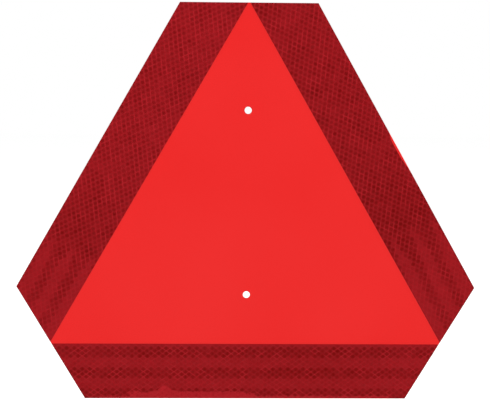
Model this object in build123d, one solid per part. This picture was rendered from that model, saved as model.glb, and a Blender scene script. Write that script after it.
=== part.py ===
from build123d import *
import os
from math import sqrt

# A slow moving vehicle sign. A six-sided blank of aluminium sheet is faced all over with
# fluorescent film, and three strips of reflective tape are laid on the film as a border
# round an equilateral triangle. The blank's corners are sheared square across the
# triangle's tips, through sheet, film and tape together, so all of them end flush.
# All sizes are in millimetres. The sign stands upright with its face towards -Y and its
# back on the XZ plane, and the origin is midway between the two bolt holes.

# The emblem
triangle_side = 352.8      # side of the fluorescent triangle, where the strips' inner edges would cross
tape_width = 50.8          # width of the tape as slit, which is the width of the border
tip_trim = 1.8             # how far inside each tip of the triangle its corner is sheared off
corner_radius = 0.6        # the blank's six corners, dressed after shearing

# The layers, from the back
plate_thickness = 1.0
film_thickness = 0.2
tape_thickness = 0.4
edge_break = 0.15          # burr taken off the back edges of the sheet

# The bolt holes, punched through sheet and film on the upright centre line
hole_diameter = 6.35
hole_spacing = 165.1
lower_hole_height = 96.4   # from the sign's bottom edge to the lower hole's centre

# Where the knife ran in from the right edge while the tape was trimmed, so that a sliver
# of film shows there. It ran in quickly, then straight, and slowly out again.
slip_start = 127.5         # along the right edge, from the sign's top corner
slip_entry = 8.5
slip_run = 17.0
slip_exit = 17.5
slip_depth = 1.95
slip_turn = 20.0           # radius of the knife's two turns

# Distances from the triangle's centre
tip_distance = triangle_side / sqrt(3)
side_distance = tip_distance / 2
edge_distance = side_distance + tape_width
cut_distance = tip_distance - tip_trim
centre_height = edge_distance - lower_hole_height - hole_spacing / 2

# How far each layer's back lies in front of the XZ plane
film_back = plate_thickness
tape_back = film_back + film_thickness

emblem_centre = Pos(0, centre_height)

# How far the bottom side is turned about the triangle's centre to make each side, in degrees
bottom_side = 0
right_side = 120
left_side = 240


def tip_up_triangle(distance):
    """Equilateral triangle about the origin, one tip up, its sides this far from the origin."""
    return RegularPolygon(radius=distance, side_count=3, major_radius=False, rotation=90)


def blank_outline():
    """The six-sided outline: the border's outer triangle, less what the three corner cuts take."""
    outer_edges = tip_up_triangle(edge_distance)
    corner_cuts = Rot(0, 0, 180) * tip_up_triangle(cut_distance)
    outline = outer_edges & corner_cuts
    return emblem_centre * fillet(outline.vertices(), corner_radius)


def bolt_holes():
    """The two holes as discs in the sign's plane."""
    reach = hole_spacing / 2
    return [Pos(0, height) * Circle(hole_diameter / 2) for height in (-reach, reach)]


def tape_band(turn):
    """A length of tape along one side of the triangle: the bottom one, turned about its centre."""
    band = Rectangle(2 * sqrt(3) * edge_distance, tape_width)
    along_bottom = Pos(0, -side_distance - tape_width / 2) * band
    return emblem_centre * Rot(0, 0, turn) * along_bottom


def knife_slip(turn):
    """The shallow hollow that the knife left in a strip's outer edge, and the waste outside it."""
    half_edge = (cut_distance - edge_distance / 2) * 2 / sqrt(3)
    enters = half_edge - slip_start
    turns_along = enters - slip_entry
    turns_out = turns_along - slip_run
    leaves = turns_out - slip_exit
    edge = -edge_distance
    deepest = edge + slip_depth
    outside = edge - slip_depth
    hollow = Polygon(
        (leaves, outside), (leaves, edge), (turns_out, deepest),
        (turns_along, deepest), (enters, edge), (enters, outside),
        align=None,
    )
    hollow = fillet(hollow.vertices().sort_by(Axis.Y)[-2:], slip_turn)
    return emblem_centre * Rot(0, 0, turn) * hollow


def layer(outline, back, thickness):
    """A flat layer of the sign, from its back towards -Y."""
    return extrude(Plane.XZ.offset(back) * outline, amount=thickness)


def backing_plate():
    """The sheet, with the burr taken off all round its back and at the back of both holes."""
    plate = layer(blank_outline() - bolt_holes(), 0, plate_thickness)
    back = plate.faces().sort_by(Axis.Y)[-1]
    return chamfer(back.edges(), edge_break)


def fluorescent_face():
    """The film, which covers the whole front of the sheet and is punched with it."""
    return layer(blank_outline() - bolt_holes(), film_back, film_thickness)


def strip_outline(turn):
    """One strip's outline: the band of tape, with its ends sheared flush with the blank."""
    return tape_band(turn) & blank_outline()


def border_strip(turn):
    """One strip of tape."""
    return layer(strip_outline(turn), tape_back, tape_thickness)


def slipped_border_strip(turn):
    """A strip of tape with the knife's slip in its outer edge."""
    return layer(strip_outline(turn) - knife_slip(turn), tape_back, tape_thickness)


sign = {
    "backing_plate": backing_plate(),
    "fluorescent_face": fluorescent_face(),
    "left_border_strip": border_strip(left_side),
    "right_border_strip": slipped_border_strip(right_side),
    "bottom_border_strip": border_strip(bottom_side),
}

os.makedirs("parts", exist_ok=True)
for name, piece in sign.items():
    piece.label = name
    export_step(piece, f"parts/{name}.step")

whole = Compound(children=list(sign.values())).bounding_box().size
print(f"sign {whole.X:.1f} wide, {whole.Z:.1f} high, {whole.Y:.2f} thick")
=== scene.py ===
# %% [markdown]
# # A slow moving vehicle sign
#
# The sign is a flat aluminium sheet with cut corners. A bright fluorescent film covers its face, and three
# strips of dark red reflective tape run round the film's triangle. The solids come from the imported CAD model,
# and this notebook gives them their looks. It keeps the sheet and the film as they are, because their shapes
# are right, and it makes the tape new, because the CAD model leaves out the tape's lattice of small cells.

# %% The frame
import math

import bmesh
import bpy
import numpy as np
from mathutils import Matrix, Vector


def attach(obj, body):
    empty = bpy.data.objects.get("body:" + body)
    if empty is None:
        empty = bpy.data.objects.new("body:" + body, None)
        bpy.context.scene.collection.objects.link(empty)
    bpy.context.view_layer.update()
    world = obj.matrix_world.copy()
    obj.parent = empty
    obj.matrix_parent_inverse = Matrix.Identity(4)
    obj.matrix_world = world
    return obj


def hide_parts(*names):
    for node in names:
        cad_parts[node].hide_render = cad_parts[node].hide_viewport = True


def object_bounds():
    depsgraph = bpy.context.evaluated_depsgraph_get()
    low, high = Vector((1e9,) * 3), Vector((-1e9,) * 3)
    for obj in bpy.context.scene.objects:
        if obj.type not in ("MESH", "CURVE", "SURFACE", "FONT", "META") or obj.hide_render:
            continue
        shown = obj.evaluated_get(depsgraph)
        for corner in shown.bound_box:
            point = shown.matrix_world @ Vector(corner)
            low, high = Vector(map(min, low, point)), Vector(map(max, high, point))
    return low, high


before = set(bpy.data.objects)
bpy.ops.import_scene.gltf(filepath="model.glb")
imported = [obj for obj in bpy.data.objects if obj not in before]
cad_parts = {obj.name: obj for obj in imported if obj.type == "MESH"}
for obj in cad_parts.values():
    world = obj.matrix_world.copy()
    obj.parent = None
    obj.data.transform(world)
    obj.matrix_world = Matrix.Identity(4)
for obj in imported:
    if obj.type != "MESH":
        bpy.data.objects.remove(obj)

cad_box = [list(corner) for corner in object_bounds()]
MM = 0.001
print("CAD box in mm:", [[round(x / MM, 2) for x in corner] for corner in cad_box])
print("CAD nodes:", sorted(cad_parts))

# %% [markdown]
# ## Two helpers for every material
#
# Colours are written the way a painter's chart gives them, as sRGB hex values. Blender's shaders add and
# multiply light, so they need linear values, and one function turns the first into the second. A second
# function adds a node, sets it and links it in one line, so that a material reads like a recipe.
#
# A noise's values lie mostly between 0.3 and 0.7. A range that starts from those two uses all of the noise.

# %% Colour and node helpers
NOISE_SPREAD = {"From Min": 0.3, "From Max": 0.7}


def linear(code):
    """An sRGB hex colour as linear RGBA: each channel over 12.92 near black, else a power of 2.4."""
    channels = [int(code[k:k + 2], 16) / 255 for k in (1, 3, 5)]
    return [c / 12.92 if c <= 0.04045 else ((c + 0.055) / 1.055) ** 2.4 for c in channels] + [1.0]


def add_node(tree, kind, sockets=None, **settings):
    """Adds a node. Settings are its properties, and sockets maps inputs to values or to outputs to link."""
    node = tree.nodes.new("ShaderNode" + kind)
    for name, value in settings.items():
        setattr(node, name, value)
    for name, value in (sockets or {}).items():
        if isinstance(value, bpy.types.NodeSocket):
            tree.links.new(value, node.inputs[name])
        else:
            node.inputs[name].default_value = value
    return node


def new_material(name):
    """An empty node material, and its node tree."""
    material = bpy.data.materials.new(name)
    material.use_nodes = True
    material.node_tree.nodes.clear()
    return material, material.node_tree


print("white in linear values:", linear("#FFFFFF"))

# %% [markdown]
# ## The camera
#
# The photograph looks at the sign almost straight on, from a little above. The camera's place was fitted to
# the sign's six corners, the three corners of the inner triangle and both bolt holes. It is written here as
# two angles round the sign, a distance, a small roll and a lens, because those are easy to check by eye.

# %% The camera
LOOK_AROUND = math.radians(1.565)
LOOK_DOWN = math.radians(9.252)
ROLL = math.radians(0.576)
DISTANCE = 1.1050
TARGET = Vector((-0.00200, 0.0, 0.00257))
LENS_MM = 91.80
SENSOR_MM = 36.0

forward = Vector((
    math.sin(LOOK_AROUND) * math.cos(LOOK_DOWN),
    math.cos(LOOK_AROUND) * math.cos(LOOK_DOWN),
    -math.sin(LOOK_DOWN),
))
level_right = forward.cross(Vector((0, 0, 1))).normalized()
level_up = level_right.cross(forward)
right = level_right * math.cos(ROLL) + level_up * math.sin(ROLL)
up = level_up * math.cos(ROLL) - level_right * math.sin(ROLL)

camera = bpy.data.objects.new("camera", bpy.data.cameras.new("camera"))
bpy.context.scene.collection.objects.link(camera)
camera.data.sensor_width = SENSOR_MM
camera.data.sensor_fit = "HORIZONTAL"
camera.data.lens = LENS_MM
camera.data.clip_start = 0.05
camera.data.clip_end = 200.0
turn = Matrix((right, up, -forward)).transposed().to_4x4()
camera.matrix_world = Matrix.Translation(TARGET - forward * DISTANCE) @ turn
bpy.context.scene.camera = camera
print("camera at", [round(x, 4) for x in camera.matrix_world.translation])

# %% [markdown]
# ## The studio
#
# The sign hangs clear of a pale floor, held where its bolts would hold it. A lamp in a real studio is a large
# soft box, and a white room fills the rest. Light here is kept at a plain level: a matt surface of any colour
# renders as that colour is written. The world shows white to the camera and to reflections, and gives matt
# surfaces a little less, and four soft boxes add the missing part with some direction.
#
# The floor is pale too. A part of its light is its own, so that it reads as white, and the rest falls on it
# from the lamps, so that the sign's shadow still shows there.

# %% The sky
FILL = 0.62

scene = bpy.context.scene
scene.view_settings.view_transform = "Standard"

world = bpy.data.worlds.new("white_room")
scene.world = world
world.use_nodes = True
sky = world.node_tree
sky.nodes.clear()


def seen_directly(tree):
    """One for camera, glossy and transmission rays, and zero for the rays that light matt surfaces."""
    path = add_node(tree, "LightPath")
    pair = add_node(tree, "Math", {0: path.outputs["Is Camera Ray"], 1: path.outputs["Is Glossy Ray"]},
                    operation="MAXIMUM")
    return add_node(tree, "Math", {0: pair.outputs[0], 1: path.outputs["Is Transmission Ray"]},
                    operation="MAXIMUM").outputs[0]


strength = add_node(sky, "MapRange", {"Value": seen_directly(sky), "To Min": FILL, "To Max": 1.0})
background = add_node(sky, "Background", {"Color": linear("#FFFFFF"), "Strength": strength.outputs[0]})
add_node(sky, "OutputWorld", {"Surface": background.outputs[0]})
print("matt surfaces get", FILL, "of the sky's white")

# %% Meshes and objects


def grid_faces(rows, columns):
    """Quads of a grid of points: each joins a point, the next in its row, and those two in the next row."""
    corner = (np.arange(rows - 1)[:, None] * columns + np.arange(columns - 1)).ravel()
    return np.stack([corner, corner + 1, corner + columns + 1, corner + columns], 1)


def mesh_from(name, points, faces):
    """A mesh of numpy points and quads."""
    mesh = bpy.data.meshes.new(name)
    mesh.from_pydata(points.tolist(), [], faces.tolist())
    mesh.update()
    return mesh


def place(name, mesh, material):
    """Links a mesh to the scene as an object at the origin, with its material."""
    piece = bpy.data.objects.new(name, mesh)
    scene.collection.objects.link(piece)
    mesh.materials.clear()
    mesh.materials.append(material)
    return piece


print("three by three points make", len(grid_faces(3, 3)), "quads")

# %% The floor
FLOOR_LEVEL = -0.60
FLOOR_REACH = 6.0
FLOOR_POINTS = 9
FLOOR_GLOW = 0.55
floor_paint, tree = new_material("pale_floor_paint")
own_light = add_node(tree, "Emission", {"Color": linear("#FFFFFF"), "Strength": FLOOR_GLOW})
matt = add_node(tree, "BsdfDiffuse", {"Color": linear("#D8D8D8")})
lit = add_node(tree, "AddShader", {0: own_light.outputs[0], 1: matt.outputs[0]})
seen = add_node(tree, "MixShader", {0: seen_directly(tree), 1: matt.outputs[0], 2: lit.outputs[0]})
add_node(tree, "OutputMaterial", {"Surface": seen.outputs[0]})

floor_side = np.linspace(-FLOOR_REACH, FLOOR_REACH, FLOOR_POINTS)
across, deep = np.meshgrid(floor_side, floor_side)
floor_points = np.stack([across, deep, np.full_like(across, FLOOR_LEVEL)], -1).reshape(-1, 3)
floor = place("floor", mesh_from("floor", floor_points, grid_faces(FLOOR_POINTS, FLOOR_POINTS)), floor_paint)
print("floor at", FLOOR_LEVEL, "m")

# %% Soft boxes


def soft_box(name, around, high, distance, size, watts):
    """A square lamp on a sphere round the sign: around is its angle from the front, high its angle up."""
    turned, raised = math.radians(around), math.radians(high)
    level = math.cos(raised)
    out = Vector((math.sin(turned) * level, -math.cos(turned) * level, math.sin(raised)))
    lamp = bpy.data.objects.new(name, bpy.data.lights.new(name, "AREA"))
    scene.collection.objects.link(lamp)
    lamp.data.shape = "SQUARE"
    lamp.data.size = size
    lamp.data.energy = watts
    lamp.location = out * distance
    lamp.rotation_euler = out.to_track_quat("Z", "Y").to_euler()


soft_box("front_left_box", around=-42, high=34, distance=3.4, size=1.8, watts=41)
soft_box("front_right_box", around=42, high=34, distance=3.4, size=1.8, watts=41)
soft_box("back_left_box", around=-140, high=45, distance=2.6, size=1.3, watts=22)
soft_box("back_right_box", around=140, high=45, distance=2.6, size=1.3, watts=22)

# %% [markdown]
# ## A flag for the glossy face
#
# A flat glossy face mirrors whatever stands in front of it. In a white room that lays a pale veil over its
# colours. A photographer hangs a dark cloth, called a flag, behind the camera and over the floor in front of
# it, and the veil is gone. Ours is one curved sheet that only reflections see, so it takes no light from the
# sign.

# %% The flag
FLAG_HALF_WIDTH = 3.0
FLAG_NEAR, FLAG_FAR = -0.30, -2.2
FLAG_LEVEL, FLAG_TOP = FLOOR_LEVEL + 0.02, 2.6
FLAG_BEND = 0.5
BEND_POINTS = 9
FLAG_COLUMNS = 5


def sweep_profile():
    """Floor, quarter circle and wall in one line: straight back, round through a right angle, then up."""
    angle = np.linspace(0, np.pi / 2, BEND_POINTS)
    bend_y = FLAG_FAR + FLAG_BEND * (1 - np.sin(angle))
    bend_z = FLAG_LEVEL + FLAG_BEND * (1 - np.cos(angle))
    y = np.concatenate([[FLAG_NEAR], bend_y, [FLAG_FAR]])
    z = np.concatenate([[FLAG_LEVEL], bend_z, [FLAG_TOP]])
    return y, z


def reflected_sheet(name, side, material):
    """A sweep of cloth or card that only reflections see. Side is 1 in front of the sign, -1 behind it."""
    profile_y, profile_z = sweep_profile()
    columns = np.linspace(-FLAG_HALF_WIDTH, FLAG_HALF_WIDTH, FLAG_COLUMNS)
    x, y = np.meshgrid(columns, profile_y * side)
    z = np.meshgrid(columns, profile_z)[1]
    points = np.stack([x, y, z], -1).reshape(-1, 3)
    piece = place(name, mesh_from(name, points, grid_faces(len(profile_y), FLAG_COLUMNS)), material)
    piece.visible_camera = False
    piece.visible_diffuse = False
    piece.visible_transmission = False
    piece.visible_shadow = False
    print(name, "from", points.min(0).round(2), "to", points.max(0).round(2))


flag_cloth, tree = new_material("black_flag_cloth")
cloth = add_node(tree, "Emission", {"Color": linear("#3A3A3A"), "Strength": 1.0})
add_node(tree, "OutputMaterial", {"Surface": cloth.outputs[0]})
reflected_sheet("front_flag", 1, flag_cloth)

# %% [markdown]
# Bare metal shows nothing but what it mirrors, and in an all-white room it looks like grey paint. Behind the
# sign stands a card that shades from grey near the floor to white higher up, so the sheet gets a soft
# gradient.

# %% The card behind
CARD_DARK, CARD_LIGHT = 0.50, 1.05
CARD_LIGHT_FROM = 1.0
card_paper, tree = new_material("shaded_grey_card")
card_place = add_node(tree, "TexCoord").outputs["Object"]
card_height = add_node(tree, "SeparateXYZ", {0: card_place}).outputs["Z"]
card_glow = add_node(tree, "MapRange", {"Value": card_height,
                                        "From Min": FLOOR_LEVEL, "From Max": CARD_LIGHT_FROM,
                                        "To Min": CARD_DARK, "To Max": CARD_LIGHT},
                     interpolation_type="SMOOTHSTEP").outputs[0]
paper = add_node(tree, "Emission", {"Color": linear("#FFFFFF"), "Strength": card_glow})
add_node(tree, "OutputMaterial", {"Surface": paper.outputs[0]})
reflected_sheet("back_card", -1, card_paper)

# %% [markdown]
# ## The reflective tape
#
# The border is prismatic reflective tape, 50.8 mm wide. A clear film carries a layer of tiny prisms, and its
# back is welded to a backing along a net of thin lines. The lines cross at 70 degrees and close off small
# diamond cells, 6.9 mm long and 4.9 mm wide, with air behind the prisms. From the front each cell looks dark,
# with its darkest spot in the middle, and the welded lines look lighter.
#
# The CAD strip is a plain slab. Here the tape is made as it is in the factory, as an endless sheet with its
# net pressed in, and a strip is then cut from it along the CAD strip's own outline. A grid that follows the
# net's two directions needs only 36 quads a cell, where an upright grid would need hundreds and still show
# steps along the slanting lines. Its lines lie closest together beside a weld, where the sheet bends most.

# %% The net of weld lines
CELL_LONG = 6.864
CELL_WIDE = CELL_LONG / math.sqrt(2)
TAPE_FACE = -1.6
TAPE_BACK = -1.2
WELD_DEPTH = 0.06
STEPS = np.array([0.0, 0.085, 0.2, 0.5, 0.8, 0.915])    # the grid's lines in a cell, as shares of its side
SINK = np.array([1.0, 0.62, 0.10, 0.0, 0.10, 0.62])     # how deep each lies, as a share of a weld's depth


def to_tape(p, q):
    """Net coordinates to tape ones in mm: along is half their sum times a cell's length, and across is half
    their difference times its width. A whole number of p or q is a weld line."""
    return CELL_LONG * (p + q) / 2, CELL_WIDE * (p - q) / 2


print("steps a cell:", len(STEPS), "so", len(STEPS) ** 2, "quads a cell")

# %% [markdown]
# ## Cutting strips from the roll
#
# Each strip has its own place on the roll, so its cells start at another point of the net. That place is
# given by where a crossing of weld lines lies, in mm along the strip from its middle and across it from its
# inner edge. The strip's frame turns about the triangle's centre by 0, 120 and 240 degrees. Its lower end is
# the one where along grows, or the other one where the sign is -1.

# %% Where each strip lies
BORDER = 50.8
TRIANGLE_SIDE = 352.8
SIGN_BOTTOM = cad_box[0][2] / MM
INNER = round(TRIANGLE_SIDE / (2 * math.sqrt(3)), 3)
CENTRE_HEIGHT = round(SIGN_BOTTOM + BORDER + INNER, 3)
strips = {
    "bottom_border_strip": {"turn": 0, "crossing": (0.55, -0.87), "lower_end": 1},
    "right_border_strip": {"turn": 120, "crossing": (-2.33, 6.10), "lower_end": -1},
    "left_border_strip": {"turn": 240, "crossing": (3.39, 5.25), "lower_end": 1},
}


def strip_to_sign(turn, along, across):
    """Strip coordinates in mm to the sign's x and z: across grows outwards from the inner edge, and the
    strip's frame is turned about the triangle's centre."""
    cosine, sine = math.cos(math.radians(turn)), math.sin(math.radians(turn))
    out = -(INNER + across)
    return along * cosine - out * sine, along * sine + out * cosine + CENTRE_HEIGHT


def sign_to_strip(turn, x, z):
    """The sign's x and z in mm to strip coordinates, the inverse of strip_to_sign."""
    cosine, sine = math.cos(math.radians(turn)), math.sin(math.radians(turn))
    height = z - CENTRE_HEIGHT
    return x * cosine + height * sine, x * sine - height * cosine - INNER


print("strips' inner edges are", INNER, "mm from the triangle's centre, at a height of", CENTRE_HEIGHT, "mm")

# %% The pressed sheet
HALF_ROLL = 182.0        # half the length of roll that one strip is cut from
ROLL_MARGIN = 8.0        # how far the roll reaches past both edges of the strip
CELL_SAG = 0.012         # how much lower one cell's face may lie than another's
print("a roll is", 2 * HALF_ROLL, "mm long and", BORDER + 2 * ROLL_MARGIN, "mm wide")


def pressed_sheet(crossing, seed):
    """Front points of the sheet and its quads, in strip coordinates. The grid's points lie at fixed fractions
    of each cell along both directions of the net. A point sinks by one less the product of how high its two
    fractions stand, and each cell is a little higher or lower than the next."""
    span = int(HALF_ROLL / CELL_LONG + (BORDER + 2 * ROLL_MARGIN) / CELL_WIDE) + 2
    index = np.arange(-span * len(STEPS), span * len(STEPS) + 1)
    cell, step = index // len(STEPS), index % len(STEPS)
    fine = cell + STEPS[step]
    p, q = np.meshgrid(fine, fine, indexing="ij")
    along, across = to_tape(p, q)
    along, across = along + crossing[0], across + crossing[1]
    stand = 1 - SINK[step]
    sink = 1 - stand[:, None] * stand[None, :]
    lots = np.random.default_rng(seed).random((2 * span + 1, 2 * span + 1))
    sag = lots[(cell + span)[:, None], (cell + span)[None, :]] * CELL_SAG * (1 - sink)
    depth = WELD_DEPTH * sink + sag
    quads = grid_faces(len(index), len(index))
    centre_along = along.ravel()[quads].mean(1)
    centre_across = across.ravel()[quads].mean(1)
    keep = np.abs(centre_along) < HALF_ROLL
    keep &= (centre_across > -ROLL_MARGIN) & (centre_across < BORDER + ROLL_MARGIN)
    quads = quads[keep]
    used, quads = np.unique(quads, return_inverse=True)
    quads = quads.reshape(-1, 4)[:, ::-1]
    return along.ravel()[used], across.ravel()[used], depth.ravel()[used], quads


# %% From sheet to roll
ROLL_BACK = -0.6         # the roll is thicker than the tape, so the cut gives the strip its flat back
print("a roll is", round(ROLL_BACK - TAPE_FACE, 2), "mm thick")


def closed_slab(front, back, quads):
    """A closed solid from a sheet: its front quads, the same ones turned round at the back, and a wall on
    each edge that only one quad has."""
    count = len(front)
    edges = np.stack([quads, np.roll(quads, -1, 1)], -1).reshape(-1, 2)
    key = np.sort(edges, 1)
    place_of, times = np.unique(key, axis=0, return_inverse=True, return_counts=True)[1:]
    rim = edges[times[place_of.ravel()] == 1]
    walls = np.stack([rim[:, 1], rim[:, 0], rim[:, 0] + count, rim[:, 1] + count], 1)
    return np.concatenate([front, back]), np.concatenate([quads, quads[:, ::-1] + count, walls])


def tape_roll(name, turn, crossing, seed):
    """A stretch of pressed tape, a bit larger than the strip, as a closed mesh in the sign's frame."""
    along, across, depth, quads = pressed_sheet(crossing, seed)
    x, z = strip_to_sign(turn, along, across)
    front = np.stack([x, TAPE_FACE + depth, z], 1) * MM
    back = np.stack([x, np.full_like(x, ROLL_BACK), z], 1) * MM
    points, faces = closed_slab(front, back, quads)
    return mesh_from(name, points, faces)


# %% Two measures of a mesh


def open_edges(mesh):
    """How many edges of a mesh don't have exactly two faces, which is none on a closed one."""
    edge = np.empty(len(mesh.loops), np.int32)
    mesh.loops.foreach_get("edge_index", edge)
    return int((np.bincount(edge, minlength=len(mesh.edges)) != 2).sum())


def volume_of(mesh):
    """A mesh's volume in cubic mm, positive if its faces point outwards."""
    work = bmesh.new()
    work.from_mesh(mesh)
    found = work.calc_volume(signed=True) / MM ** 3
    work.free()
    return found


print("the floor is a single sheet, with", open_edges(floor.data), "open edges")

# %% The knife
SAME_POINT = 1e-7
KNIFE_FRONT = -3.0
TAPE_MIDDLE = (TAPE_FACE + TAPE_BACK) / 2
print("the knife's front moves out from the tape's face to", KNIFE_FRONT, "mm")


def knife(node):
    """A copy of a CAD strip, merged, with its front moved forward, so that it cuts right through the tape.
    The normals stored in it would pass on to the cut tape and bend the light along the cut, so they are
    dropped."""
    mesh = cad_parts[node].data.copy()
    stored_normals = mesh.attributes.get("custom_normal")
    if stored_normals:
        mesh.attributes.remove(stored_normals)
    work = bmesh.new()
    work.from_mesh(mesh)
    bmesh.ops.remove_doubles(work, verts=work.verts, dist=SAME_POINT)
    work.to_mesh(mesh)
    work.free()
    points = np.empty(len(mesh.vertices) * 3)
    mesh.vertices.foreach_get("co", points)
    points = points.reshape(-1, 3)
    points[:, 1] = np.where(points[:, 1] < TAPE_MIDDLE * MM, KNIFE_FRONT * MM, points[:, 1])
    mesh.vertices.foreach_set("co", points.ravel())
    mesh.update()
    cutter = bpy.data.objects.new("knife_" + node, mesh)
    scene.collection.objects.link(cutter)
    return cutter


# %% The cut


def drop_spare_points(mesh):
    """Takes out the points where only two edges meet. The cut leaves one wherever it crosses a quad's
    diagonal, and two triangles of the mesh could otherwise lie on the same three points."""
    ends = np.empty(len(mesh.edges) * 2, np.int32)
    mesh.edges.foreach_get("vertices", ends)
    spare = np.flatnonzero(np.bincount(ends, minlength=len(mesh.vertices)) == 2)
    work = bmesh.new()
    work.from_mesh(mesh)
    work.verts.ensure_lookup_table()
    bmesh.ops.dissolve_verts(work, verts=[work.verts[k] for k in spare])
    work.to_mesh(mesh)
    work.free()
    print("spare points taken out:", len(spare))


def cut_strip(name, roll, cutter):
    """What the roll and the knife share, as a new mesh with every modifier applied."""
    piece = bpy.data.objects.new(name, roll)
    scene.collection.objects.link(piece)
    cut = piece.modifiers.new("cut", "BOOLEAN")
    cut.operation = "INTERSECT"
    cut.solver = "MANIFOLD"
    cut.object = cutter
    shapes = bpy.context.evaluated_depsgraph_get()
    mesh = bpy.data.meshes.new_from_object(piece.evaluated_get(shapes))
    drop_spare_points(mesh)
    piece.modifiers.clear()
    piece.data = mesh
    bpy.data.objects.remove(cutter)
    return piece


# %% [markdown]
# ## Painted light and shade along the strips
#
# The prisms send light back most strongly to where it came from, so a strip's tone changes slowly along it,
# and each strip has another tone because its cells lie another way round. A painter would call it a wash. It
# is placed here as a ground tone and a few wide soft spots on each strip. A spot is written as its
# place along and across the strip, how far it reaches each way, and what it adds to the tone.
#
# Rows of cells come in groups of four, because the prisms of one group are turned against those of the next.
# Seen nearly straight on, both kinds look alike. Seen at a slant, as at the lower ends of the side strips and
# all along the bottom one, one group stays dark and the next turns pale and even. That light and shade is
# painted into the tape's colour, as bands of dark and pale rows. The bands are written as the two places
# between which they come in, on the way to the strip's lower end. Drift is how many rows they have moved once
# past a place along the strip, and shine is the share of each family of weld lines that catches the light,
# painted as a glint.

# %% Painted light: tones and bands
# The ground tones and soft spots are painted light and shade, from the way the prisms give light back.
tones = {
    "bottom_border_strip": {
        "ground": 0.526,
        "spots": [(62, 14, 48, 26, -0.065), (140, 25, 16, 40, 0.06), (-135, 8, 25, 18, 0.035),
                  (-50, 18, 55, 26, 0.02)],
        "bands": (-700, -600), "band_most": 0.92, "drift": 0.0, "shine": (0.70, 0.70),
    },
    "right_border_strip": {
        "ground": 0.598,
        "spots": [(-55, 22, 42, 45, -0.125), (140, 28, 30, 45, 0.05), (20, 51, 110, 4, 0.06)],
        "bands": (30, 125), "band_most": 1.0, "drift": 1.0, "shine": (0.15, 0.80),
    },
    "left_border_strip": {
        "ground": 0.660,
        "spots": [(72, 22, 38, 45, -0.10), (-142, 30, 26, 45, 0.055), (-38, 12, 18, 14, 0.05),
                  (135, 22, 30, 60, -0.06), (0, 51, 150, 4, 0.04)],
        "bands": (60, 130), "band_most": 1.0, "drift": 0.0, "shine": (0.80, 0.15),
    },
}
DRIFT_FROM, DRIFT_OVER = -122, 24
print("ground tones:", [row["ground"] for row in tones.values()])


def soft_step(value):
    """Zero below zero, one above one, and three squares less two cubes between."""
    share = np.clip(value, 0, 1)
    return share * share * (3 - 2 * share)


def bell(value, middle, reach):
    """One at the middle, falling as e to minus the square of the distance over the reach."""
    return np.exp(-((value - middle) / reach) ** 2)


def painted_strip_light(row, along, across):
    """A strip's painted light and shade: its ground tone plus its soft spots, each one bell along times one
    bell across.
    """
    tone = np.full_like(along, row["ground"])
    for at_along, at_across, reach_along, reach_across, amount in row["spots"]:
        tone += amount * bell(along, at_along, reach_along) * bell(across, at_across, reach_across)
    return tone


def strip_bands(row, along, lower_end):
    """How strongly the painted bands of dark and pale rows show: from nothing to their most between two places
    on the way to the lower end."""
    begin, full = row["bands"]
    return row["band_most"] * soft_step((along * lower_end - begin) / (full - begin))


# %% The painted sheen along the edge
SHEEN_LINE, SHEEN_SOFTNESS = 43.1, 2.3
SHEEN_RIPPLE, RIPPLE_TURN = 0.3, 0.53
SHEEN_ENDS = [(-112, 12), (14, -9)]
STEPS_OUT = [(-82, -12, 1.3), (-6, 10, 1.6)]
TONGUES = [(-73, 6.5, 5.5), (-101, 7, 1.8)]
THIN_SHEEN, THIN_SHEEN_LINE, THIN_SHEEN_SOFTNESS = 0.85, 47.2, 1.8
THIN_SHEEN_ENDS = [(-140, 14), (140, -14)]
print("the rub runs from", SHEEN_ENDS[0][0], "to", SHEEN_ENDS[1][0], "mm along the bottom strip")


def painted_edge_sheen(along, across):
    """Where a sheen is painted along the bottom strip's outer edge, as a paler tone with faded cells: past a
    wavering line along the edge, between two ends, and past a line nearer the edge, less strongly, along nearly
    all of it. The wavering line steps outwards towards both ends and reaches in at the tongues. A step or an
    end is written as its place and how far along it takes, less than nothing if that is to the left, and a
    tongue as its place, reach and length."""
    line = SHEEN_LINE + SHEEN_RIPPLE * np.sin(along * RIPPLE_TURN)
    for at, over, out in STEPS_OUT:
        line += out * soft_step((along - at) / over)
    for at, reach, length in TONGUES:
        line -= length * bell(along, at, reach)
    broad = soft_step((across - line) / SHEEN_SOFTNESS)
    for at, over in SHEEN_ENDS:
        broad *= soft_step((along - at) / over)
    narrow = THIN_SHEEN * soft_step((across - THIN_SHEEN_LINE) / THIN_SHEEN_SOFTNESS)
    for at, over in THIN_SHEEN_ENDS:
        narrow *= soft_step((along - at) / over)
    return np.maximum(broad, narrow)


def mark_tape(piece, name, turn, crossing, lower_end):
    """Writes what the material reads. The first vector is each point's place on the roll, in mm from a
    crossing of weld lines, and how strongly the painted sheen on the bottom strip's edge shows. The second
    holds
    painted light and shade: its tone, how strongly the bands show and their drift in rows. The third is how
    much of the weld lines' length shines with a painted glint, for those across p and those across q."""
    mesh = piece.data
    points = np.empty(len(mesh.vertices) * 3)
    mesh.vertices.foreach_get("co", points)
    points = points.reshape(-1, 3) / MM
    along, across = sign_to_strip(turn, points[:, 0], points[:, 2])
    edge_sheen = painted_edge_sheen(along, across) if turn == 0 else np.zeros_like(along)
    drift = tones[name]["drift"] * soft_step((along - DRIFT_FROM) / DRIFT_OVER)
    place_on_roll = [along - crossing[0], across - crossing[1], edge_sheen]
    look = [painted_strip_light(tones[name], along, across), strip_bands(tones[name], along, lower_end), drift]
    shine = [np.full_like(along, share) for share in (*tones[name]["shine"], 0.0)]
    for label, columns in (("tape_place", place_on_roll), ("tape_painted_light", look), ("tape_shine", shine)):
        mark = mesh.attributes.new(label, "FLOAT_VECTOR", "POINT")
        mark.data.foreach_set("vector", np.stack(columns, 1).astype(np.float32).ravel())
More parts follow.
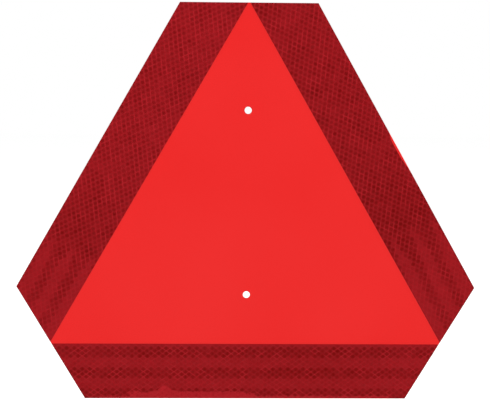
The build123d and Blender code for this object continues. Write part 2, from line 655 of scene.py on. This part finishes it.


# %% [markdown]
# ## The tape's finish
#
# The real tape is an acrylic film, clear and red, over moulded prisms with a welded backing. From most sides
# its cells give little light back, so each looks like a soft dark dot. The weld lines, where the prisms are
# pressed flat, scatter light and look a little paler. No two cells are welded quite alike, so the dots
# differ.
#
# One number, the tone, carries all of this: the painted light and shade along the strip, less the dot, plus
# the weld line. It then picks a colour between the tape's deepest red and its palest. The clear face over it
# is glossy, which the shader's coat gives. The material's lengths are in mm, because the tape's place on the
# roll is.

# %% The net, read from the roll
DOT_CORE, DOT_RIM = 0.26, 3.1
tape, tree = new_material("prismatic_reflective_tape")
place_on_roll = add_node(tree, "Attribute", attribute_name="tape_place").outputs["Vector"]
tape_painted_light = add_node(tree, "Attribute", attribute_name="tape_painted_light").outputs["Vector"]
look = add_node(tree, "SeparateXYZ", {0: tape_painted_light})
paleness, banding, drift = look.outputs["X"], look.outputs["Y"], look.outputs["Z"]
edge_sheen = add_node(tree, "SeparateXYZ", {0: place_on_roll}).outputs["Z"]
net_p = add_node(tree, "VectorMath", {0: place_on_roll, 1: (1 / CELL_LONG, 1 / CELL_WIDE, 0)},
                 operation="DOT_PRODUCT").outputs["Value"]
net_q = add_node(tree, "VectorMath", {0: place_on_roll, 1: (1 / CELL_LONG, -1 / CELL_WIDE, 0)},
                 operation="DOT_PRODUCT").outputs["Value"]
net = add_node(tree, "CombineXYZ", {"X": net_p, "Y": net_q}).outputs[0]
cell = add_node(tree, "VectorMath", {0: net}, operation="FLOOR").outputs[0]
part = add_node(tree, "VectorMath", {0: net}, operation="FRACTION").outputs[0]
from_middle = add_node(tree, "VectorMath", {0: part, 1: (0.5, 0.5, 0)}, operation="SUBTRACT").outputs[0]
off = add_node(tree, "VectorMath", {0: from_middle}, operation="ABSOLUTE").outputs[0]
sides = add_node(tree, "SeparateXYZ", {0: off})
middle_along = add_node(tree, "VectorMath", {0: from_middle, 1: (CELL_LONG / 2, CELL_LONG / 2, 0)},
                        operation="DOT_PRODUCT").outputs["Value"]
middle_across = add_node(tree, "VectorMath", {0: from_middle, 1: (CELL_WIDE / 2, -CELL_WIDE / 2, 0)},
                         operation="DOT_PRODUCT").outputs["Value"]
in_mm = add_node(tree, "CombineXYZ", {"X": middle_along, "Y": middle_across}).outputs[0]
radius = add_node(tree, "VectorMath", {0: in_mm}, operation="LENGTH").outputs["Value"]
dot = add_node(tree, "MapRange", {"Value": radius, "From Min": DOT_CORE, "From Max": DOT_RIM,
                                  "To Min": 1.0, "To Max": 0.0}, interpolation_type="SMOOTHSTEP").outputs[0]
print("a dot fades out", DOT_RIM, "mm from the middle of its cell")

# %% [markdown]
# A cosine that turns once in eight rows tells the two groups of rows apart. A row is painted dark where the
# cosine is past a threshold. Without bands the threshold lies below any cosine, so every row is dark, and with
# full bands it lies in the middle. Chance then makes each cell, and each clump of cells, a little darker or
# paler.

# %% Rows, painted bands and chance
ROWS_IN_BOTH_GROUPS = 8
DARK_MIDDLE = 3.5
NO_BANDS, FULL_BANDS = -2.0, 0.02
BAND_EDGE = 0.55
CLUMP_WIDTH = 16
MOTTLE_WIDTH = 7
CELL_CHANCE = (0.80, 1.22)
CLUMP_CHANCE = (0.72, 1.28)
row = add_node(tree, "VectorMath", {0: cell, 1: (1, -1, 0)}, operation="DOT_PRODUCT").outputs["Value"]
from_dark = add_node(tree, "Math", {0: row, 1: DARK_MIDDLE}, operation="SUBTRACT").outputs[0]
from_dark = add_node(tree, "Math", {0: from_dark, 1: drift}, operation="SUBTRACT").outputs[0]
turned = add_node(tree, "Math", {0: from_dark, 1: 2 * math.pi / ROWS_IN_BOTH_GROUPS},
                  operation="MULTIPLY").outputs[0]
wave = add_node(tree, "Math", {0: turned}, operation="COSINE").outputs[0]
threshold = add_node(tree, "MapRange", {"Value": banding, "To Min": NO_BANDS,
                                        "To Max": FULL_BANDS}).outputs[0]
past = add_node(tree, "Math", {0: wave, 1: threshold}, operation="SUBTRACT").outputs[0]
painted_dark_row = add_node(tree, "MapRange", {"Value": past, "From Max": BAND_EDGE},
                    interpolation_type="SMOOTHSTEP").outputs[0]

chance = add_node(tree, "TexWhiteNoise", {"Vector": cell}, noise_dimensions="2D")
lots = add_node(tree, "SeparateXYZ", {0: chance.outputs["Color"]})
clump = add_node(tree, "TexNoise", {"Vector": place_on_roll, "Scale": 1 / CLUMP_WIDTH, "Detail": 2.0},
                 noise_dimensions="2D").outputs[0]
cell_lot = add_node(tree, "MapRange", {"Value": lots.outputs["X"], "To Min": CELL_CHANCE[0],
                                       "To Max": CELL_CHANCE[1]}).outputs[0]
clump_lot = add_node(tree, "MapRange", {"Value": clump, **NOISE_SPREAD,
                                        "To Min": CLUMP_CHANCE[0], "To Max": CLUMP_CHANCE[1]}).outputs[0]
mottle = add_node(tree, "TexNoise", {"Vector": place_on_roll, "Scale": 1 / MOTTLE_WIDTH, "Detail": 2.0},
                  noise_dimensions="2D").outputs[0]
print("a dot's depth varies by", CELL_CHANCE, "from cell to cell and by", CLUMP_CHANCE, "over a clump")

# %% [markdown]
# A weld line doesn't shine evenly. It catches the light along stretches a few cells long, often together with
# the lines that cross it there. Lines that run nearly upright on the sign catch it most, because the room's
# light comes from both sides, and so one family of lines stands out on each side strip. This shine is a glint
# painted into the tape's colour. A line shines where a noise passes a threshold, and the larger its family's
# share, the lower that threshold is.

# %% The weld lines
WELD_HALF = 0.042         # half a line's width, as a share of a cell's side
WELD_FULL = 0.4           # a line is full up to here from its middle, in halves of its width
WELD_GONE = 2.0           # and gone from here on
WELD_LIFT = 0.036         # what a line adds to the tone where it doesn't shine
SHINE_LIFT = 0.47         # and the most it adds where it does
PALE_ROW_SHINE = 0.34     # how much of that is left in a pale row
SHINE_RUN = 5.0           # the length of a shining stretch, in cells
LINES_APART = 0.61
PATCH_WIDTH = 12
PATCH_SHARE = 0.6
NONE_PAST, ALL_PAST = 0.62, 0.47
SHINE_EDGE = 0.05
tape_shine = add_node(tree, "Attribute", attribute_name="tape_shine").outputs["Vector"]
shining = add_node(tree, "SeparateXYZ", {0: tape_shine})
patch = add_node(tree, "TexNoise", {"Vector": place_on_roll, "Scale": 1 / PATCH_WIDTH, "Detail": 1.0},
                 noise_dimensions="2D").outputs[0]
most_shine = add_node(tree, "MapRange", {"Value": painted_dark_row, "To Min": PALE_ROW_SHINE * SHINE_LIFT,
                                         "To Max": SHINE_LIFT}).outputs[0]


def weld_lines(number, along_line, off_middle, share, seed):
    """How much one family of lines lifts the tone here. The share says how much of its length shines, the
    seed sets it apart from the other family, and lines are numbered by the net coordinate that they cross."""
    there = add_node(tree, "MapRange", {"Value": off_middle, "From Min": 0.5 - WELD_GONE * WELD_HALF,
                                        "From Max": 0.5 - WELD_FULL * WELD_HALF},
                     interpolation_type="SMOOTHSTEP").outputs[0]
    line = add_node(tree, "Math", {0: number}, operation="ROUND").outputs[0]
    on_line = add_node(tree, "CombineXYZ", {"X": line, "Y": along_line, "Z": seed}).outputs[0]
    stretch = add_node(tree, "VectorMath", {0: on_line, 1: (LINES_APART, 1 / SHINE_RUN, 1)},
                       operation="MULTIPLY").outputs[0]
    own = add_node(tree, "TexNoise", {"Vector": stretch, "Scale": 1.0, "Detail": 1.0}).outputs[0]
    both = add_node(tree, "Mix", {"Factor": PATCH_SHARE, "A": own, "B": patch}, data_type="FLOAT").outputs[0]
    least = add_node(tree, "MapRange", {"Value": share, "To Min": NONE_PAST, "To Max": ALL_PAST}).outputs[0]
    past_least = add_node(tree, "Math", {0: both, 1: least}, operation="SUBTRACT").outputs[0]
    lift = add_node(tree, "MapRange", {"Value": past_least, "From Max": SHINE_EDGE,
                                       "To Min": WELD_LIFT, "To Max": most_shine}).outputs[0]
    return add_node(tree, "Math", {0: there, 1: lift}, operation="MULTIPLY").outputs[0]


lift_p = weld_lines(net_p, net_q, sides.outputs["X"], shining.outputs["X"], seed=3.0)
lift_q = weld_lines(net_q, net_p, sides.outputs["Y"], shining.outputs["Y"], seed=8.0)
print("tape nodes with the weld lines:", len(tree.nodes))

# %% [markdown]
# Inside each cell stand rows of prisms, three-sided pyramids with their tips to the back. Three families of
# grooves bound them, and each prism has three facets, one to each groove, that catch the light a little
# differently. That light is painted into the colour: the facets count as minus one, zero and one step of
# tone. Real prisms are about 0.2 mm across. They are drawn half a millimetre across here, eight to a cell's
# side, because finer ones would show only as noise.

# %% Prisms
PRISMS_A_CELL = 8


def groove_distance(towards_p, towards_q):
    """How far a point is from the nearest groove of one family, as a share of the grooves' spacing."""
    grooves = (towards_p * PRISMS_A_CELL, towards_q * PRISMS_A_CELL, 0)
    steps = add_node(tree, "VectorMath", {0: net, 1: grooves}, operation="DOT_PRODUCT").outputs["Value"]
    return add_node(tree, "Math", {0: steps, 1: 0.5}, operation="PINGPONG").outputs[0]


groove_a, groove_b, groove_c = groove_distance(1, 0), groove_distance(0, 1), groove_distance(1, -1)
nearer_ab = add_node(tree, "Math", {0: groove_a, 1: groove_b}, operation="MINIMUM").outputs[0]
prism_height = add_node(tree, "Math", {0: nearer_ab, 1: groove_c}, operation="MINIMUM").outputs[0]
facet_c = add_node(tree, "Math", {0: groove_c, 1: nearer_ab}, operation="LESS_THAN").outputs[0]
facet_b = add_node(tree, "Math", {0: groove_b, 1: groove_a}, operation="LESS_THAN").outputs[0]
facet = add_node(tree, "Mix", {"Factor": facet_c, "A": facet_b, "B": -1.0}, data_type="FLOAT").outputs[0]
print("grooves lie", round(math.hypot(CELL_LONG, CELL_WIDE) / 2 / PRISMS_A_CELL, 2), "mm apart along a weld")

# %% From dots, lines and painted light to one tone
# BAND_DROP, BAND_DEPTH, PALE_ROW_DEPTH and PALE_ROW_LIFT paint the bands' dark and pale rows: painted shade and
# light.
DOT_DEPTH = 0.365
BAND_DEPTH = 0.72
PALE_ROW_DEPTH = 0.33
PALE_ROW_LIFT = 0.100
BAND_DROP = 0.075
CELL_LIFT = 0.02
MOTTLE = 0.045
FACET_STEP = 0.12
most_depth = add_node(tree, "MapRange", {"Value": banding, "To Min": DOT_DEPTH,
                                         "To Max": BAND_DEPTH * DOT_DEPTH}).outputs[0]
row_depth = add_node(tree, "MapRange", {"Value": painted_dark_row, "To Min": PALE_ROW_DEPTH * DOT_DEPTH,
                                        "To Max": most_depth}).outputs[0]
row_lift = add_node(tree, "MapRange", {"Value": painted_dark_row, "To Min": PALE_ROW_LIFT, "To Max": 0.0}).outputs[0]
cell_lift = add_node(tree, "MapRange", {"Value": lots.outputs["Y"], "To Min": -CELL_LIFT,
                                        "To Max": CELL_LIFT}).outputs[0]
blotch = add_node(tree, "MapRange", {"Value": mottle, **NOISE_SPREAD,
                                     "To Min": -MOTTLE, "To Max": MOTTLE}).outputs[0]
tone = add_node(tree, "Math", {0: banding, 1: -BAND_DROP, 2: paleness}, operation="MULTIPLY_ADD").outputs[0]
for lift in (row_lift, cell_lift, blotch, lift_p, lift_q):
    tone = add_node(tree, "Math", {0: tone, 1: lift}, operation="ADD").outputs[0]
# Each facet's step of tone is painted light.
tone = add_node(tree, "Math", {0: facet, 1: FACET_STEP, 2: tone}, operation="MULTIPLY_ADD").outputs[0]
print("tape nodes with the tone:", len(tree.nodes))

# %% The painted sheen, and the tape's red
# The sheen along the bottom strip's outer edge is painted light: it lifts the tone and fades the dots.
SHEEN_LIFT = 0.36
SHEEN_BREAKUP_WIDTH = 2.2
SHEEN_BREAKUP = 0.32
sheen_breakup_noise = add_node(tree, "TexNoise", {"Vector": place_on_roll, "Scale": 1 / SHEEN_BREAKUP_WIDTH, "Detail": 2.0},
                 noise_dimensions="2D").outputs[0]
broken_sheen = add_node(tree, "MapRange", {"Value": sheen_breakup_noise, **NOISE_SPREAD,
                                     "To Min": -SHEEN_BREAKUP, "To Max": SHEEN_BREAKUP}).outputs[0]
broken_sheen = add_node(tree, "Math", {0: edge_sheen, 1: broken_sheen}, operation="ADD").outputs[0]
painted_sheen = add_node(tree, "MapRange", {"Value": broken_sheen, "From Min": SHEEN_BREAKUP, "From Max": 1.0}).outputs[0]
off_sheen = add_node(tree, "Math", {0: 1.0, 1: painted_sheen}, operation="SUBTRACT").outputs[0]
dotted = row_depth
for share in (cell_lot, clump_lot, off_sheen, dot):
    dotted = add_node(tree, "Math", {0: dotted, 1: share}, operation="MULTIPLY").outputs[0]
tone = add_node(tree, "Math", {0: painted_sheen, 1: SHEEN_LIFT, 2: tone}, operation="MULTIPLY_ADD").outputs[0]
tone = add_node(tree, "Math", {0: tone, 1: dotted}, operation="SUBTRACT", use_clamp=True).outputs[0]
red = add_node(tree, "Mix", {"Factor": tone, "A": linear("#6E0202"), "B": linear("#B01C24")},
               data_type="RGBA").outputs["Result"]
print("tape nodes with the colour:", len(tree.nodes))

# %% The clear face and the finish
LAID_WAVE, FINE_WAVE = 22, 1.6
LAID_HEIGHT = 10.0        # how much higher the long waves are than the fine ones
FACE_RELIEF = 0.000012
PRISM_RELIEF = 0.00012
laid_waves = add_node(tree, "TexNoise", {"Vector": place_on_roll, "Scale": 1 / LAID_WAVE,
                                         "Detail": 1.0}).outputs[0]
fine_waves = add_node(tree, "TexNoise", {"Vector": place_on_roll, "Scale": 1 / FINE_WAVE,
                                         "Detail": 1.0}).outputs[0]
face_height = add_node(tree, "Math", {0: laid_waves, 1: LAID_HEIGHT, 2: fine_waves},
                       operation="MULTIPLY_ADD").outputs[0]
face_relief = add_node(tree, "Bump", {"Height": face_height, "Strength": 1.0, "Distance": FACE_RELIEF})
prism_relief = add_node(tree, "Bump", {"Height": prism_height, "Strength": 1.0, "Distance": PRISM_RELIEF,
                                       "Normal": face_relief.outputs[0]})
gloss = add_node(tree, "BsdfPrincipled", {
    "Base Color": red,
    "Roughness": 0.5,
    "Specular IOR Level": 0.0,
    "Coat Weight": 1.0,
    "Coat Roughness": 0.14,
    "Coat IOR": 1.49,
    "Normal": prism_relief.outputs[0],
    "Coat Normal": face_relief.outputs[0],
})
add_node(tree, "OutputMaterial", {"Surface": gloss.outputs[0]})
print("tape nodes:", len(tree.nodes))

# %% The three strips
SHARP_ANGLE = math.radians(20)

for seed, (name, strip) in enumerate(strips.items()):
    roll = tape_roll(name + "_roll", strip["turn"], strip["crossing"], seed)
    print(name, "roll: open edges", open_edges(roll), "volume", round(volume_of(roll)), "cubic mm")
    piece = cut_strip(name.replace("_strip", "_tape"), roll, knife(name))
    mark_tape(piece, name, strip["turn"], strip["crossing"], strip["lower_end"])
    piece.data.materials.clear()
    piece.data.materials.append(tape)
    piece.data.polygons.foreach_set("use_smooth", np.ones(len(piece.data.polygons), bool))
    piece.data.set_sharp_from_angle(angle=SHARP_ANGLE)
    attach(piece, "root")
    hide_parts(name)
    corners = np.array(piece.bound_box) / MM
    print(piece.name, "faces", len(piece.data.polygons), "triangles",
          sum(len(face.vertices) - 2 for face in piece.data.polygons), "open edges", open_edges(piece.data),
          "volume", round(volume_of(piece.data), 1), "box", corners.min(0).round(2), corners.max(0).round(2))

# %% [markdown]
# ## The fluorescent film
#
# The triangle is cast vinyl film, full of fluorescent pigment. Such a pigment takes in light of other
# colours and gives it back as red, so the film looks a little brighter than any paint could. A small glow of
# the same red stands for that. Its grain is far too fine to see, and is drawn half a millimetre wide. The
# film's face is satin: it has the fine orange peel of its casting, about a millimetre from dimple to dimple,
# and long low waves where it was rolled on by hand. The punch that made the holes drew the film's edge in a
# little.
#
# Lengths on the film and the sheet are in metres, because their materials read each point's place on the
# sign.

# %% The film's face
HOLE_HEIGHT = 165.1 / 2 * MM
HOLE_RADIUS = 6.35 / 2 * MM
DRAWN_REACH = 0.0008
PIGMENT_GRAIN = 0.0006
WASH_WIDTH = 0.11
PEEL_WIDTH = 0.0013
WAVE_WIDTH = 0.040
SPECKLE = 0.3
WASH_TONES = (0.44, 0.56)
WASH_ROUGHNESS = (0.29, 0.34)
DRAWN_PAINTED_SHADE, DRAWN_HEIGHT = -0.8, -8.0
WAVE_HEIGHT = 6.0
PEEL_RELIEF = 0.000009
FILM_GLOW = 0.08
film, tree = new_material("cast_fluorescent_vinyl")
film_place = add_node(tree, "TexCoord").outputs["Object"]
flat_place = add_node(tree, "VectorMath", {0: film_place, 1: (1, 0, 1)}, operation="MULTIPLY").outputs[0]
from_upper = add_node(tree, "VectorMath", {0: flat_place, 1: (0, 0, HOLE_HEIGHT)},
                      operation="DISTANCE").outputs["Value"]
from_lower = add_node(tree, "VectorMath", {0: flat_place, 1: (0, 0, -HOLE_HEIGHT)},
                      operation="DISTANCE").outputs["Value"]
from_hole = add_node(tree, "Math", {0: from_upper, 1: from_lower}, operation="MINIMUM").outputs[0]
drawn_in_and_shaded = add_node(tree, "MapRange", {"Value": from_hole,
                                       "From Min": HOLE_RADIUS, "From Max": HOLE_RADIUS + DRAWN_REACH,
                                       "To Min": 1.0, "To Max": 0.0},
                    interpolation_type="SMOOTHSTEP").outputs[0]

pigment = add_node(tree, "TexNoise", {"Vector": film_place, "Scale": 1 / PIGMENT_GRAIN,
                                      "Detail": 1.0}).outputs[0]
wash = add_node(tree, "TexNoise", {"Vector": film_place, "Scale": 1 / WASH_WIDTH, "Detail": 1.0}).outputs[0]
speckle = add_node(tree, "MapRange", {"Value": pigment, **NOISE_SPREAD,
                                      "To Min": -SPECKLE, "To Max": SPECKLE}).outputs[0]
shift = add_node(tree, "MapRange", {"Value": wash, **NOISE_SPREAD,
                                    "To Min": WASH_TONES[0], "To Max": WASH_TONES[1]}).outputs[0]
film_tone = add_node(tree, "Math", {0: speckle, 1: shift}, operation="ADD").outputs[0]
# The ring that the punch drew in is painted darker: painted shade in the dip round each hole.
film_tone = add_node(tree, "Math", {0: drawn_in_and_shaded, 1: DRAWN_PAINTED_SHADE, 2: film_tone}, operation="MULTIPLY_ADD",
                     use_clamp=True).outputs[0]
film_red = add_node(tree, "Mix", {"Factor": film_tone, "A": linear("#D51413"), "B": linear("#EB1817")},
                    data_type="RGBA").outputs["Result"]

peel = add_node(tree, "TexNoise", {"Vector": film_place, "Scale": 1 / PEEL_WIDTH, "Detail": 2.0}).outputs[0]
waves = add_node(tree, "TexNoise", {"Vector": film_place, "Scale": 1 / WAVE_WIDTH, "Detail": 1.0}).outputs[0]
film_height = add_node(tree, "Math", {0: waves, 1: WAVE_HEIGHT, 2: peel},
                       operation="MULTIPLY_ADD").outputs[0]
film_height = add_node(tree, "Math", {0: drawn_in_and_shaded, 1: DRAWN_HEIGHT, 2: film_height},
                       operation="MULTIPLY_ADD").outputs[0]
film_relief = add_node(tree, "Bump", {"Height": film_height, "Strength": 1.0, "Distance": PEEL_RELIEF})
film_gloss = add_node(tree, "MapRange", {"Value": wash, **NOISE_SPREAD,
                                         "To Min": WASH_ROUGHNESS[0],
                                         "To Max": WASH_ROUGHNESS[1]}).outputs[0]
face = add_node(tree, "BsdfPrincipled", {
    "Base Color": film_red,
    "Roughness": film_gloss,
    "IOR": 1.5,
    "Normal": film_relief.outputs[0],
    "Emission Color": linear("#FF2A22"),
    "Emission Strength": FILM_GLOW,
})
add_node(tree, "OutputMaterial", {"Surface": face.outputs[0]})
print("film nodes:", len(tree.nodes))

# %% [markdown]
# ## The aluminium sheet
#
# The back is bare aluminium sheet, one millimetre thick, as it leaves the rolling mill. The polished rolls
# leave fine lines along the sheet, here sideways, so the sheet mirrors light in a smear across them. Stacking
# and handling add faint scratches and duller patches, up to the size of a hand. Real roll lines are a few
# hundredths of a millimetre apart, which no picture of the whole sign can show, so they are drawn a third of
# a millimetre wide, with broader and longer ones among them.
#
# The blank was sheared. A blade cuts the first third of the thickness with a shine and then the rest breaks
# off dull, so the edge has two bands.

# %% Roll lines, scratches and hands
FINE_LONG, FINE_WIDE = 0.045, 0.0007
BROAD_LONG, BROAD_WIDE = 0.22, 0.005
HAND_WIDTH = 0.055
SHEET_WAVE = 0.13
SCRATCH_LONG = 1.2
SCRATCH_PATCH = 0.06
SCRATCH_HALF = 0.0028
HAND_MARKS = (0.52, 0.72)
SCRATCH_MARKS = (0.52, 0.60)
sheet, tree = new_material("mill_finish_aluminium")
sheet_place = add_node(tree, "TexCoord").outputs["Object"]
fine_place = add_node(tree, "VectorMath", {0: sheet_place, 1: (1 / FINE_LONG, 1 / FINE_WIDE, 1 / FINE_WIDE)},
                      operation="MULTIPLY").outputs[0]
broad_place = add_node(tree, "VectorMath",
                       {0: sheet_place, 1: (1 / BROAD_LONG, 1 / BROAD_WIDE, 1 / BROAD_WIDE)},
                       operation="MULTIPLY").outputs[0]
fine_lines = add_node(tree, "TexNoise", {"Vector": fine_place, "Scale": 1.0, "Detail": 3.0,
                                         "Roughness": 0.65}).outputs[0]
broad_lines = add_node(tree, "TexNoise", {"Vector": broad_place, "Scale": 1.0, "Detail": 3.0}).outputs[0]
lines = add_node(tree, "Mix", {"Factor": 0.5, "A": fine_lines, "B": broad_lines},
                 data_type="FLOAT").outputs[0]
hands = add_node(tree, "TexNoise", {"Vector": sheet_place, "Scale": 1 / HAND_WIDTH, "Detail": 3.0,
                                    "Distortion": 0.6}).outputs[0]
dull = add_node(tree, "MapRange", {"Value": hands, "From Min": HAND_MARKS[0], "From Max": HAND_MARKS[1]},
                interpolation_type="SMOOTHSTEP").outputs[0]


def scratch_lines(angle, spacing, seed):
    """Thin long lines: a stretched noise turned by an angle, marked only where it crosses one half, and only
    in patches."""
    turned = add_node(tree, "Mapping", {"Vector": sheet_place, "Location": (seed, seed, seed),
                                        "Rotation": (0, math.radians(angle), 0)}).outputs[0]
    long_place = add_node(tree, "VectorMath", {0: turned, 1: (1 / SCRATCH_LONG, 1 / spacing, 1 / spacing)},
                          operation="MULTIPLY").outputs[0]
    field = add_node(tree, "TexNoise", {"Vector": long_place, "Scale": 1.0, "Detail": 0.0}).outputs[0]
    from_half = add_node(tree, "Math", {0: field, 1: 0.5}, operation="SUBTRACT").outputs[0]
    beside = add_node(tree, "Math", {0: from_half}, operation="ABSOLUTE").outputs[0]
    line = add_node(tree, "MapRange", {"Value": beside, "From Max": SCRATCH_HALF,
                                       "To Min": 1.0, "To Max": 0.0}).outputs[0]
    patch = add_node(tree, "TexNoise", {"Vector": turned, "Scale": 1 / SCRATCH_PATCH,
                                        "Detail": 0.0}).outputs[0]
    here = add_node(tree, "MapRange", {"Value": patch, "From Min": SCRATCH_MARKS[0],
                                       "From Max": SCRATCH_MARKS[1]}).outputs[0]
    return add_node(tree, "Math", {0: line, 1: here}, operation="MULTIPLY").outputs[0]


rising = scratch_lines(angle=24, spacing=0.030, seed=0.31)
falling = scratch_lines(angle=-63, spacing=0.045, seed=0.77)
scratches = add_node(tree, "Math", {0: rising, 1: falling}, operation="MAXIMUM").outputs[0]
print("sheet nodes with the scratches:", len(tree.nodes))

# %% The sheared edge
SHEAR_BREAK = -0.00067
BREAK_HALF = 0.00004
edge_normal = add_node(tree, "NewGeometry").outputs["Normal"]
facing = add_node(tree, "SeparateXYZ", {0: edge_normal}).outputs["Y"]
off_face = add_node(tree, "Math", {0: facing}, operation="ABSOLUTE").outputs[0]
edge = add_node(tree, "Math", {0: off_face, 1: 0.5}, operation="LESS_THAN").outputs[0]
depth_in = add_node(tree, "SeparateXYZ", {0: sheet_place}).outputs["Y"]
broken = add_node(tree, "MapRange", {"Value": depth_in, "From Min": SHEAR_BREAK - BREAK_HALF,
                                     "From Max": SHEAR_BREAK + BREAK_HALF},
                  interpolation_type="SMOOTHSTEP").outputs[0]
torn = add_node(tree, "Math", {0: edge, 1: broken}, operation="MULTIPLY").outputs[0]
print("the shear breaks", round(-SHEAR_BREAK / MM, 2), "mm from the sheet's back")

# %% The metal
LINE_TONES = {"From Min": 0.38, "From Max": 0.62, "To Min": 0.12, "To Max": 0.82}
LINE_ROUGHNESS = {"From Min": 0.36, "From Max": 0.64, "To Min": 0.38, "To Max": 0.29}
HAND_TONE, SCRATCH_TONE = -0.22, 0.80
HAND_ROUGHNESS, TORN_ROUGHNESS = 0.07, 0.20
SHEET_WAVE_HEIGHT, SCRATCH_HEIGHT = 90.0, -5.0
LINE_RELIEF = 0.000012
metal_tone = add_node(tree, "MapRange", {"Value": lines, **LINE_TONES}).outputs[0]
metal_tone = add_node(tree, "Math", {0: dull, 1: HAND_TONE, 2: metal_tone},
                      operation="MULTIPLY_ADD").outputs[0]
metal_tone = add_node(tree, "Math", {0: scratches, 1: SCRATCH_TONE, 2: metal_tone}, operation="MULTIPLY_ADD",
                      use_clamp=True).outputs[0]
face_colour = add_node(tree, "Mix", {"Factor": metal_tone, "A": linear("#BEC0C3"), "B": linear("#E9EAEC")},
                       data_type="RGBA").outputs["Result"]
edge_colour = add_node(tree, "Mix", {"Factor": broken, "A": linear("#B4B6B9"), "B": linear("#9A9DA1")},
                       data_type="RGBA").outputs["Result"]
metal_colour = add_node(tree, "Mix", {"Factor": edge, "A": face_colour, "B": edge_colour},
                        data_type="RGBA").outputs["Result"]
metal_rough = add_node(tree, "MapRange", {"Value": lines, **LINE_ROUGHNESS}).outputs[0]
metal_rough = add_node(tree, "Math", {0: dull, 1: HAND_ROUGHNESS, 2: metal_rough},
                       operation="MULTIPLY_ADD").outputs[0]
metal_rough = add_node(tree, "Math", {0: torn, 1: TORN_ROUGHNESS, 2: metal_rough},
                       operation="MULTIPLY_ADD").outputs[0]
sheet_waves = add_node(tree, "TexNoise", {"Vector": sheet_place, "Scale": 1 / SHEET_WAVE,
                                          "Detail": 1.0}).outputs[0]
metal_height = add_node(tree, "Math", {0: sheet_waves, 1: SHEET_WAVE_HEIGHT, 2: lines},
                        operation="MULTIPLY_ADD").outputs[0]
metal_height = add_node(tree, "Math", {0: scratches, 1: SCRATCH_HEIGHT, 2: metal_height},
                        operation="MULTIPLY_ADD").outputs[0]
metal_relief = add_node(tree, "Bump", {"Height": metal_height, "Strength": 1.0, "Distance": LINE_RELIEF})
along_rolls = add_node(tree, "CombineXYZ", {"X": 1.0, "Y": 0.0, "Z": 0.0})
metal = add_node(tree, "BsdfPrincipled", {
    "Base Color": metal_colour,
    "Metallic": 1.0,
    "Roughness": metal_rough,
    "Anisotropic": 0.55,
    "Normal": metal_relief.outputs[0],
    "Tangent": along_rolls.outputs[0],
})
add_node(tree, "OutputMaterial", {"Surface": metal.outputs[0]})
print("sheet nodes:", len(tree.nodes))

# %% Dressing the CAD nodes
for node, material in (("fluorescent_face", film), ("backing_plate", sheet)):
    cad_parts[node].data.materials.clear()
    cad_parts[node].data.materials.append(material)
    print(node, "wears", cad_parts[node].data.materials[0].name)
